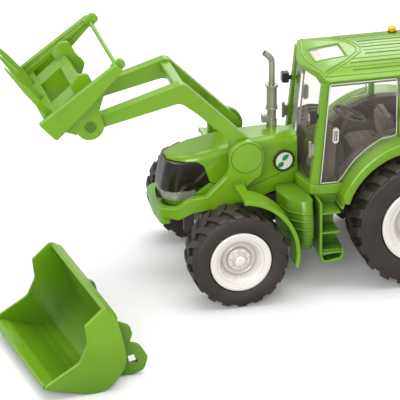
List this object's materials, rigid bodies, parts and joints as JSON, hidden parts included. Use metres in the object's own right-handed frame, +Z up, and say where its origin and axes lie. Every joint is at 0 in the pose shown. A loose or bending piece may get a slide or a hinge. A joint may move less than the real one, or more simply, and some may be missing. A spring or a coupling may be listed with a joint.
{
  "type": "toy farm tractor with front loader",
  "caption": "Green toy farm tractor with cab, raised front loader carrying a bale fork, and a loose loader bucket standing on the ground beside it.",
  "frame": {"origin": "centre of the drawbar's vertical hitch-pin hole at the rear, halfway down the hole; the ground is 36 mm below it", "axes": "+X forwards along the tractor, +Y to the driver's left, +Z up along the hitch-pin hole"},
  "size_m": [0.4453, 0.2933, 0.2108],
  "materials": {
    "badge_black": "black rim",
    "badge_white": "white disc",
    "beacon_amber": "yellow-orange, slightly see-through",
    "dark_plastic": "very dark brown-grey moulded plastic, half gloss",
    "green_plastic": "moulded grass-green toy plastic, glossy",
    "grey_chassis": "dark grey moulded plastic",
    "hub_grey": "grey-white plastic",
    "interior_grey": "dark brown-grey",
    "lamp_clear": "clear strip with silver behind it",
    "pin_green": "green plastic pin heads",
    "rim_white": "off-white silver plastic",
    "screw_steel": "zinc plated",
    "silver_trim": "warm silver painted plastic",
    "steel_shaft": "plain drawn steel",
    "tyre_rubber": "soft tyre plastic with a warm dark grey tone",
    "window_clear": "clear plastic, slightly warm"
  },
  "bodies": {
    "chassis": {"axle_pivot_pin": "steel_shaft", "beacon_base": "dark_plastic", "beacon_lens": "beacon_amber", "boom_pivot_pins": "pin_green", "cab_frame": "green_plastic", "cab_interior": "interior_grey", "cab_lamps": "dark_plastic", "cab_roof": "green_plastic", "chassis_frame": "grey_chassis", "chassis_screws": "screw_steel", "dashboard": "interior_grey", "drawbar": "grey_chassis", "emblem_discs": "badge_white", "emblem_rings": "badge_black", "engine_cowl": "green_plastic", "exhaust_stack": "silver_trim", "front_fenders": "green_plastic", "grille_shell": "dark_plastic", "headlight_strip": "lamp_clear", "hinge_posts": "green_plastic", "hood_shell": "green_plastic", "loader_subframe": "green_plastic", "lower_bumper": "green_plastic", "nose_chin": "green_plastic", "pillar_brackets": "silver_trim", "rear_fenders": "green_plastic", "rear_window": "window_clear", "roof_window": "window_clear", "seat": "interior_grey", "side_tanks": "green_plastic", "side_windows": "window_clear", "step_ladders": "green_plastic", "tower_covers": "green_plastic", "windscreen": "window_clear", "wiper": "dark_plastic"},
    "front_axle": {"front_axle_beam": "green_plastic"},
    "knuckle_left": {"steering_knuckle_left": "grey_chassis"},
    "knuckle_right": {"steering_knuckle_right": "grey_chassis"},
    "track_rod": {"tie_rod": "grey_chassis"},
    "front_wheel_left": {"front_rim_left": "rim_white", "front_tyre_left": "tyre_rubber"},
    "front_wheel_right": {"front_rim_right": "rim_white", "front_tyre_right": "tyre_rubber"},
    "rear_wheels": {"rear_tyres": "tyre_rubber", "rear_rims": "rim_white", "rear_hub_caps": "hub_grey", "rear_axle_shaft": "steel_shaft"},
    "loader": {"loader_boom": "green_plastic"},
    "fork": {"fork_frame": "green_plastic", "fork_top_rod": "green_plastic", "fork_pivot_pins": "pin_green", "fork_tines": "green_plastic"},
    "left_door": {"door_left": "window_clear", "door_handle_left": "silver_trim"},
    "right_door": {"door_right": "window_clear", "door_handle_right": "silver_trim"},
    "wheel_of_driver": {"steering_wheel": "interior_grey"},
    "hitch_links": {"lower_links": "grey_chassis"},
    "bucket": {"bucket_shell": "green_plastic", "bucket_cutting_edge": "green_plastic"}
  },
  "joints": [
    {"name": "axle_sway", "type": "hinge", "parent": "chassis", "child": "front_axle", "pos_m": [0.228, 0, 0.01], "axis": [1, 0, 0], "range_deg": [-4, 4]},
    {"name": "steer_left", "type": "hinge", "parent": "front_axle", "child": "knuckle_left", "pos_m": [0.228, 0.045, 0.01], "axis": [0, 0, 1], "range_deg": [-12, 12]},
    {"name": "steer_right", "type": "hinge", "parent": "front_axle", "child": "knuckle_right", "pos_m": [0.228, -0.045, 0.01], "axis": [0, 0, 1], "range_deg": [-12, 12]},
    {"name": "track_rod_shift", "type": "slide", "parent": "front_axle", "child": "track_rod", "axis": [0, 1, 0], "range_m": [-0.0045, 0.0045]},
    {"name": "front_wheel_left_spin", "type": "hinge", "parent": "knuckle_left", "child": "front_wheel_left", "pos_m": [0.228, 0.067, 0.004], "axis": [0, 1, 0], "continuous": true},
    {"name": "front_wheel_right_spin", "type": "hinge", "parent": "knuckle_right", "child": "front_wheel_right", "pos_m": [0.228, -0.067, 0.004], "axis": [0, 1, 0], "continuous": true},
    {"name": "rear_wheels_spin", "type": "hinge", "parent": "chassis", "child": "rear_wheels", "pos_m": [0.078, 0, 0.0175], "axis": [0, 1, 0], "continuous": true},
    {"name": "loader_lift", "type": "hinge", "parent": "chassis", "child": "loader", "pos_m": [0.2121, 0, 0.0739], "axis": [0, 1, 0], "range_deg": [-18, 48]},
    {"name": "fork_tilt", "type": "hinge", "parent": "loader", "child": "fork", "pos_m": [0.3392, 0, 0.1134], "axis": [0, 1, 0], "range_deg": [-35, 50]},
    {"name": "door_left_swing", "type": "hinge", "parent": "chassis", "child": "left_door", "pos_m": [0.087, 0.048, 0.104], "axis": [0, 0, 1], "range_deg": [0, 75]},
    {"name": "door_right_swing", "type": "hinge", "parent": "chassis", "child": "right_door", "pos_m": [0.087, -0.048, 0.104], "axis": [0, 0, -1], "range_deg": [0, 75]},
    {"name": "steering_wheel_turn", "type": "hinge", "parent": "chassis", "child": "wheel_of_driver", "pos_m": [0.119, 0, 0.0815], "axis": [-0.42, 0, 0.9075], "continuous": true},
    {"name": "hitch_lift", "type": "hinge", "parent": "chassis", "child": "hitch_links", "pos_m": [0.028, 0, 0.0105], "axis": [0, 1, 0], "range_deg": [0, 30]},
    {"name": "bucket_lift_off", "type": "slide", "parent": "chassis", "child": "bucket", "axis": [0, 0, 1], "range_m": [0, 0.06]}
  ],
  "couplings": [
    {"joint": "steer_right", "follows": "steer_left", "ratio": 1},
    {"joint": "track_rod_shift", "follows": "steer_left", "m_per_rad": -0.021}
  ]
}
